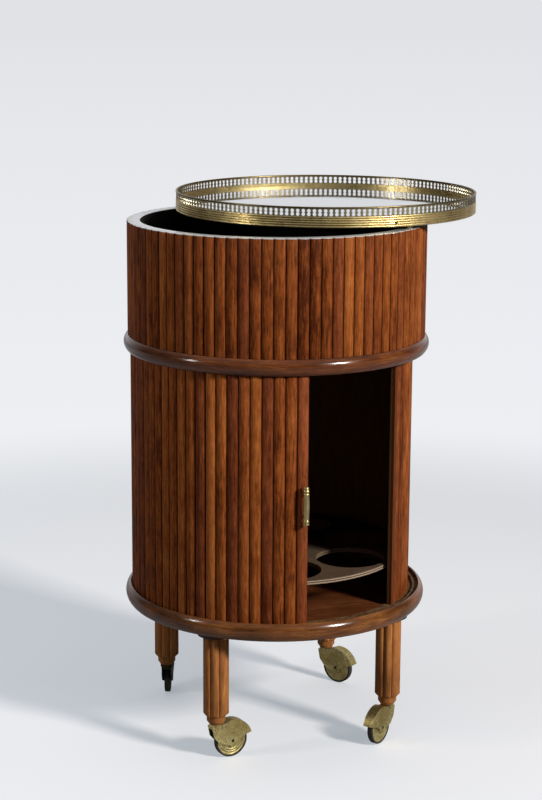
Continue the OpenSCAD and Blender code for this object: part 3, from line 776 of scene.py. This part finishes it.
class BAR_OT_tray(bpy.types.Operator):
    """Makes the tray's ribbed band, pierced gallery, bead and small pins"""

    bl_idname = "bar.tray"
    bl_label = "Tray"

    # Radius of the bead and thickness of the hoop, in metres
    bead = 0.00135
    hoop_t = 0.0012
    # Pairs of holes, radius of a hole in metres, and how far apart a pair lies in such radii
    piercings = 180
    hole = 0.0025
    hole_step = 1.84

    def execute(self, context):
        self.band()
        self.gallery()
        dress_node("tray_mirror", "mirror_glass")
        dress_node("tray_board", "dark_wood")
        dress_node("band_pins", "dark_metal")
        return {"FINISHED"}

    def band(self):
        """The band of half-round ribs under the gallery."""
        ribs, rib_deep, points, fullness = 5, 0.0009, 6, 0.6
        low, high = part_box("tray_band")
        inner, outer = radii("tray_band", TRAY)
        step = (high.z - low.z) / ribs
        section = [(inner, low.z)]
        for i in range(ribs):
            for k in range(points + 1):
                out = math.sin(math.pi * k / points) ** fullness
                section.append((outer - rib_deep * (1 - out), low.z + (i + k / points) * step))
        section.append((inner, high.z))
        turned("tray_band_finished", section, TRAY, "tray", "band_brass",
               ("tray_band",), steps=320, angle=60)

    def tile(self, radius, low, high):
        """Mesh of the hoop round one piercing: two holes that run together."""
        hole_steps, same_place, at_seam, into_bead = 9, 0.00001, 0.999, 1.6
        half = (radius + self.hoop_t / 2) * math.tan(math.pi / self.piercings)
        top = high - self.bead * into_bead
        apart = self.hole * self.hole_step / 2
        centre = low + (high - low - 2 * self.bead) / 2
        lean = math.degrees(math.asin(apart / self.hole))
        bm = bmesh.new()
        holes = (arc(0, centre + apart, self.hole, -lean, 180 + lean, hole_steps)
                 + arc(0, centre - apart, self.hole, 180 - lean, 360 + lean, hole_steps))
        for y, z in holes:
            bm.verts.new((0, y, z))
        bmesh.ops.remove_doubles(bm, verts=bm.verts, dist=same_place)
        outline = bm.verts[:]
        edges = []
        corners = [bm.verts.new((0, y, z))
                   for y, z in ((-half, low), (half, low), (half, top), (-half, top))]
        for loop in (outline, corners):
            edges += [bm.edges.new(pair) for pair in zip(loop, loop[1:] + loop[:1])]
        bmesh.ops.triangle_fill(bm, use_beauty=True, use_dissolve=False, edges=edges)
        raised = bmesh.ops.extrude_face_region(bm, geom=bm.faces[:])
        bmesh.ops.translate(bm, vec=(self.hoop_t, 0, 0), verts=added(raised))
        seams = [f for f in bm.faces if abs(f.calc_center_median().y) > half * at_seam]
        bmesh.ops.delete(bm, geom=seams, context="FACES_ONLY")
        bmesh.ops.recalc_face_normals(bm, faces=bm.faces)
        mesh = bpy.data.meshes.new("tile")
        bm.to_mesh(mesh)
        bm.free()
        return mesh

    def gallery(self):
        """The pierced hoop, of tiles joined at their seams, and the bead on its top."""
        seam, sides = 0.00008, 16
        low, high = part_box("tray_gallery")
        outer = radii("tray_gallery", TRAY)[1]
        middle_r = outer - self.bead
        radius = middle_r - self.hoop_t / 2
        tile = self.tile(radius, low.z, high.z)
        hoop = bmesh.new()
        for i in range(self.piercings):
            old = len(hoop.verts)
            hoop.from_mesh(tile)
            hoop.verts.ensure_lookup_table()
            verts = hoop.verts[old:]
            bmesh.ops.translate(hoop, vec=(radius, 0, 0), verts=verts)
            bmesh.ops.rotate(hoop, cent=(0, 0, 0), verts=verts,
                             matrix=Matrix.Rotation(math.tau * i / self.piercings, 3, "Z"))
        bpy.data.meshes.remove(tile)
        bmesh.ops.remove_doubles(hoop, verts=hoop.verts, dist=seam)
        bmesh.ops.translate(hoop, vec=TRAY, verts=hoop.verts)
        smooth(piece("gallery_hoop", hoop, "tray", "hoop_brass",
                     ("tray_gallery",)), 20)
        section = arc(middle_r, high.z - self.bead, self.bead, 0, 360 - 360 / sides, sides - 1)
        turned("gallery_bead", section, TRAY, "tray", "bead_brass",
               steps=320, angle=60)


class BAR_OT_legs(bpy.types.Operator):
    """Finishes the reeded legs, their flanges and screws"""

    bl_idname = "bar.legs"
    bl_label = "Legs"

    def execute(self, context):
        for corner in CORNERS:
            dressed("leg_" + corner, "cabinet", "leg_wood", angle=30)
        dress_node("leg_flanges", "dark_wood")
        dress_node("flange_screws", "caster_brass")
        return {"FINISHED"}


class BAR_OT_casters(bpy.types.Operator):
    """Finishes the hooded casters with their wheels, tyres and axles"""

    bl_idname = "bar.casters"
    bl_label = "Casters"

    # How far a face has to look toward the hub to count as the inside of the hood, in metres;
    # that inside is painted near black as painted shade
    inside = 0.002
    eased = 0.0006

    def execute(self, context):
        for corner in CORNERS:
            low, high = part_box("axle_" + corner)
            hub = (low + high) / 2
            # The back left caster stands in the bar's shadow and is made near black, as painted
            # shade
            metal = "caster_black" if corner == "bl" else "caster_brass"
            name = "caster_" + corner
            hood = dressed(name, name, metal, bevel=self.eased)
            # Faces inside the hood go near black: painted shade
            repaint(hood, "hood_inside", lambda p, r: p.normal.dot(hub - p.center) > self.inside)
            dressed("wheel_" + corner, "wheel_" + corner, metal)
            dressed("tyre_" + corner, "wheel_" + corner, "tyre_rubber")
            dress_node("axle_" + corner, "dark_metal")
        return {"FINISHED"}


class BAR_OT_door(bpy.types.Operator):
    """Finishes the door's backing, stile and handle"""

    bl_idname = "bar.door"
    bl_label = "Door"

    # Heights from the foot of the pull, and its thickness there, as shares of the whole
    turnings = ((0.0, 0.84), (0.015, 0.98), (0.045, 0.98), (0.06, 0.86), (0.085, 0.86),
                (0.10, 0.97), (0.125, 0.97), (0.14, 0.80), (0.20, 0.82), (0.32, 0.88),
                (0.50, 0.92), (0.66, 0.88), (0.775, 0.80), (0.79, 0.90), (0.815, 0.90),
                (0.83, 0.79), (0.855, 0.79), (0.87, 0.90), (0.895, 0.90), (0.91, 0.78),
                (0.95, 0.80), (0.985, 0.76), (1.0, 0.62))
    # Heights of its posts, as shares of its own
    posts = (0.22, 0.78)

    def execute(self, context):
        dress_node("door_canvas", "backing_cloth")
        dress_node("door_stile", "jamb_wood")
        dress_node("handle_screws", "dark_metal")
        self.pull()
        return {"FINISHED"}

    def pull(self):
        """A bowed bar on two posts, standing off the door's leading slat."""
        sides = 24
        bow, post_r, foot_r, foot_deep = 0.0013, 0.0022, 0.0034, 0.0024
        low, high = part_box("door_handle")
        mid = (low + high) / 2 - AXIS
        facing = Matrix.Rotation(math.atan2(mid.y, mid.x), 3, "Z")
        corners = [facing.inverted() @ (v.co - AXIS) for v in NODES["door_handle"].data.vertices]
        half = max(c.y for c in corners)
        line = max(c.x for c in corners) - half
        tall = high.z - low.z
        bm = bmesh.new()
        ring = bmesh.ops.create_circle(bm, cap_ends=True, segments=sides, radius=half)["verts"]
        bmesh.ops.translate(bm, vec=(line, 0, low.z), verts=ring)
        loop = bm.edges[:]
        at, width, out = 0.0, 1.0, 0.0
        for share, thick in self.turnings:
            if share > 0:
                grown = bmesh.ops.extrude_edge_only(bm, edges=loop)["geom"]
                ring = [g for g in grown if isinstance(g, bmesh.types.BMVert)]
                loop = [g for g in grown if isinstance(g, bmesh.types.BMEdge)]
            lean = bow * ((2 * share - 1) ** 2)
            step = (out - lean, 0, (share - at) * tall)
            bmesh.ops.translate(bm, vec=step, verts=ring)
            centre = sum((v.co for v in ring), Vector()) / len(ring)
            bmesh.ops.scale(bm, vec=(thick / width,) * 2 + (1,), verts=ring,
                            space=Matrix.Translation(-centre))
            at, width, out = share, thick, lean
        bmesh.ops.contextual_create(bm, geom=loop)
        start = min(c.x for c in corners)
        outward = Matrix.Rotation(math.pi / 2, 4, "Y")
        for share in self.posts:
            for r, end in ((post_r, line), (foot_r, start + foot_deep)):
                spot = Matrix.Translation(((start + end) / 2, 0, low.z + tall * share))
                bmesh.ops.create_cone(bm, cap_ends=True, segments=sides, radius1=r, radius2=r,
                                      depth=end - start, matrix=spot @ outward)
        bmesh.ops.recalc_face_normals(bm, faces=bm.faces)
        bmesh.ops.rotate(bm, cent=(0, 0, 0), matrix=facing, verts=bm.verts)
        bmesh.ops.translate(bm, vec=AXIS, verts=bm.verts)
        smooth(piece("door_pull", bm, "door", "handle_brass",
                     ("door_handle",)), 50)


class BAR_OT_inside(bpy.types.Operator):
    """Finishes the boards, jambs and bottle rack inside"""

    bl_idname = "bar.inside"
    bl_label = "Inside"

    inside = {
        "base_board": "red_wood",
        "rack_floor": "red_wood",
        "door_jambs": "jamb_wood",
        "track_rail": "worn_track",
        "rack_shelf": "plywood",
        "rack_post": "dark_wood",
        "wall_panel": "panel_wood",
        # The divider is near black as painted shade inside the drum
        "divider": "drum_dark",
        "rack_spindle": "caster_brass",
        "pivot_pin": "caster_brass",
        "pivot_washer": "caster_brass",
    }

    def execute(self, context):
        for node, material in self.inside.items():
            dress_node(node, material)
        return {"FINISHED"}


class BAR_OT_stage(bpy.types.Operator):
    """Sets up the paper floor and its pale distance, the lamps and the camera"""

    bl_idname = "bar.stage"
    bl_label = "Stage"

    floor_r = 60.0
    pale_far = (0.752, 0.762, 0.790)
    pale_near = (0.850, 0.862, 0.888)
    # The paper's colour in the lamps' light and its own faint light, and shares of both: as it
    # lights the bar, as polished pieces mirror it, behind the bar, and to its left and right;
    # the glow's share behind the bar is painted shade, and its left and right shares paint it
    # brighter on the left than on the right
    shaded = (0.690, 0.645, 0.635)
    lit = (0.350, 0.395, 0.435)
    bounce = 0.22
    mirrored = 0.25
    behind = 0.88
    left, right = 1.10, 0.90
    # Distances from the bar, in metres, between which the paper fades into the pale distance
    fade = (1.15, 2.0)
    # The room as polished pieces mirror it, in front: at eye level, a little higher, and overhead
    room_low = (0.03, 0.03, 0.03)
    room_mid = (0.06, 0.062, 0.065)
    room_top = (0.36, 0.37, 0.385)
    # The room's light on the bar, from in front and from behind
    dim_front = (0.055, 0.056, 0.060)
    dim_behind = (0.16, 0.165, 0.175)
    # Lamps: place and aim as the photograph looks, power, width, height, colour, and whether
    # polished pieces mirror the lamp
    lamps = {
        "key_lamp": ((4.10, -3.42, 3.13), (0, 0, 0.42), 320, 0.85, 0.85, (1.0, 0.985, 0.95), True),
        "fill_lamp": ((-1.62, -0.80, 1.15), (0, 0, 0.42), 5.4, 0.20, 0.32, (1.0, 0.99, 0.98), True),
        "top_lamp": ((0.0, 0.5, 2.6), (0, 0, 0.5), 14, 2.2, 1.8, (0.98, 0.99, 1.0), False),
    }
    # The camera's place from the foot of the axis, and its pitch, yaw and roll in degrees
    stand = (0, -2.7603, 1.079)
    looks = (-12.239, -0.144, 0.348)

    def execute(self, context):
        self.turn = Matrix.Rotation(math.radians(LOOK_TURN), 4, "Z")
        self.floor(context.scene)
        self.world(context.scene)
        for name, values in self.lamps.items():
            self.lamp(context.scene, name, *values)
        self.camera(context.scene)
        context.scene.view_settings.view_transform = "Standard"
        return {"FINISHED"}

    def floor(self, scene):
        """Paper that takes the shadows nearby and fades into the pale distance."""
        segments, lowered = 96, 0.0002
        f = Finish("floor_paper")
        paper = own_colour("paper")
        at = f.node("ShaderNodeVectorMath", {"operation": "SUBTRACT"},
                    {0: f.place(), 1: tuple(AXIS)})
        away = f.node("ShaderNodeVectorMath", {"operation": "LENGTH"}, {0: at}, output="Value")
        ahead = self.along(f, at, (0, 1, 0))
        across = self.along(f, at, (1, 0, 0))
        glossy = f.seen_by("Glossy")
        direct = f.seen_by("Camera", "Transmission")
        seen = direct.either(glossy * self.mirrored)
        # The glow dims behind the bar as painted shade, and is brighter on the left than the right
        # as painted light
        own = (seen * f.steps(ahead, -0.08, 0.14, 1.0, self.behind)
               * f.steps(across, -0.7, 0.7, self.left, self.right))
        f.finish(Base_Color=f.mix(seen, tuple(paper * self.bounce), self.shaded),
                 Roughness=0.95, Specular_IOR_Level=0.1,
                 Emission_Color=f.mix(own, (0, 0, 0), self.lit),
                 Emission_Strength=1.0)
        beyond = f.node("ShaderNodeMapRange", {"interpolation_type": "SMOOTHSTEP"},
                        {"Value": away, "From Min": self.fade[0], "From Max": self.fade[1]})
        glow = direct.either(glossy * f.steps(ahead, 0.2, 1.2, 0.0, self.mirrored))
        level = f.steps(away.math("LOGARITHM", 2.0), 1.0, 5.0)
        pale = f.node("ShaderNodeEmission", {},
                      {"Color": f.mix(level, self.pale_near, self.pale_far)})
        both = f.node("ShaderNodeMixShader", {},
                      {0: beyond * glow, 1: Wire(f, f.shader.outputs[0]), 2: pale})
        f.tree.links.new(both.socket, f.tree.nodes["Material Output"].inputs["Surface"])
        bm = bmesh.new()
        bmesh.ops.create_circle(bm, cap_ends=True, segments=segments, radius=self.floor_r)
        bmesh.ops.translate(bm, vec=AXIS + Vector((0, 0, -lowered)), verts=bm.verts)
        mesh = bpy.data.meshes.new("stage_floor")
        bm.to_mesh(mesh)
        bm.free()
        floor = bpy.data.objects.new("stage_floor", mesh)
        scene.collection.objects.link(floor)
        mesh.materials.append(f.material)

    def along(self, nodes, at, direction):
        """How far a place or direction lies to the right or ahead, as the photograph looks."""
        look = self.turn @ Vector(direction)
        return nodes.node("ShaderNodeVectorMath", {"operation": "DOT_PRODUCT"},
                          {0: at, 1: tuple(look)}, output="Value")

    def world(self, scene):
        """Pale to the eye, dim as a light, and in polished pieces pale behind and dark in front."""
        world = bpy.data.worlds.new("studio")
        scene.world = world
        world.use_nodes = True
        n = Nodes(world.node_tree)
        ahead = self.along(n, n.node("ShaderNodeTexCoord", output="Generated"), (0, 1, 0))
        up = n.split(n.node("ShaderNodeTexCoord", output="Generated"), "Z")
        front = n.mix(n.steps(up, 0.0, 0.12), self.room_low, self.room_mid)
        front = n.mix(n.steps(up, 0.45, 0.80), front, self.room_top)
        mirrored = n.mix(n.steps(ahead, 0.50, 0.92), front, self.pale_far)
        dim = n.mix(n.steps(ahead, -0.2, 0.7), self.dim_front, self.dim_behind)
        ambient = n.mix(n.seen_by("Glossy"), dim, mirrored)
        colour_seen = n.mix(n.seen_by("Camera", "Transmission"), ambient, self.pale_far)
        n.feed(world.node_tree.nodes["Background"].inputs["Color"], colour_seen)

    def lamp(self, scene, name, at, aim, power, wide, tall, tint, shows):
        """An area lamp, placed as the photograph looks from the foot of the cabinet's axis."""
        data = bpy.data.lights.new(name, "AREA")
        data.shape = "RECTANGLE"
        data.size, data.size_y = wide, tall
        data.energy = power
        data.color = tint
        lamp = bpy.data.objects.new(name, data)
        lamp.location = AXIS + self.turn @ Vector(at)
        lamp.visible_camera = False
        lamp.visible_glossy = shows
        toward = AXIS + self.turn @ Vector(aim) - lamp.location
        lamp.rotation_euler = toward.to_track_quat("-Z", "Y").to_euler()
        scene.collection.objects.link(lamp)

    def camera(self, scene):
        """The camera that the photograph was fitted with."""
        data = bpy.data.cameras.new("camera")
        data.sensor_width = 36
        data.lens = scene.bar_sizes.lens
        data.clip_start, data.clip_end = 0.05, 200
        camera = bpy.data.objects.new("camera", data)
        pitch, yaw, roll = (math.radians(a) for a in self.looks)
        forward = Vector((math.sin(yaw) * math.cos(pitch), math.cos(yaw) * math.cos(pitch),
                          math.sin(pitch)))
        right = Vector((math.cos(yaw), -math.sin(yaw), 0))
        up = right.cross(forward)
        right, up = (right * math.cos(roll) + up * math.sin(roll),
                     up * math.cos(roll) - right * math.sin(roll))
        basis = Matrix((right, up, -forward)).transposed().to_4x4()
        basis.translation = Vector(self.stand)
        camera.matrix_world = Matrix.Translation(AXIS) @ self.turn @ basis
        scene.collection.objects.link(camera)
        scene.camera = camera


class BAR_PT_panel(bpy.types.Panel):
    """Lists the bar's parts in the sidebar"""

    bl_label = "Mobile bar"
    bl_idname = "BAR_PT_panel"
    bl_space_type = "VIEW_3D"
    bl_region_type = "UI"
    bl_category = "Mobile bar"

    def draw(self, context):
        layout = self.layout
        for group in (context.scene.bar_sizes, context.scene.bar_colours):
            for key in group.__annotations__:
                layout.prop(group, key)
        for step in STEPS:
            layout.operator(step.bl_idname)


STEPS = (BAR_OT_slats, BAR_OT_mouldings, BAR_OT_tray, BAR_OT_legs, BAR_OT_casters, BAR_OT_door,
         BAR_OT_inside, BAR_OT_stage)
CLASSES = (BarSizes, BarColours) + STEPS + (BAR_PT_panel,)


def register():
    for cls in CLASSES:
        bpy.utils.register_class(cls)
    bpy.types.Scene.bar_sizes = bpy.props.PointerProperty(type=BarSizes)
    bpy.types.Scene.bar_colours = bpy.props.PointerProperty(type=BarColours)


def unregister():
    del bpy.types.Scene.bar_colours
    del bpy.types.Scene.bar_sizes
    for cls in reversed(CLASSES):
        bpy.utils.unregister_class(cls)


def main():
    register()
    bpy.ops.bar.slats()
    bpy.ops.bar.mouldings()
    bpy.ops.bar.tray()
    bpy.ops.bar.legs()
    bpy.ops.bar.casters()
    bpy.ops.bar.door()
    bpy.ops.bar.inside()
    bpy.ops.bar.stage()


if __name__ == "__main__":
    main()
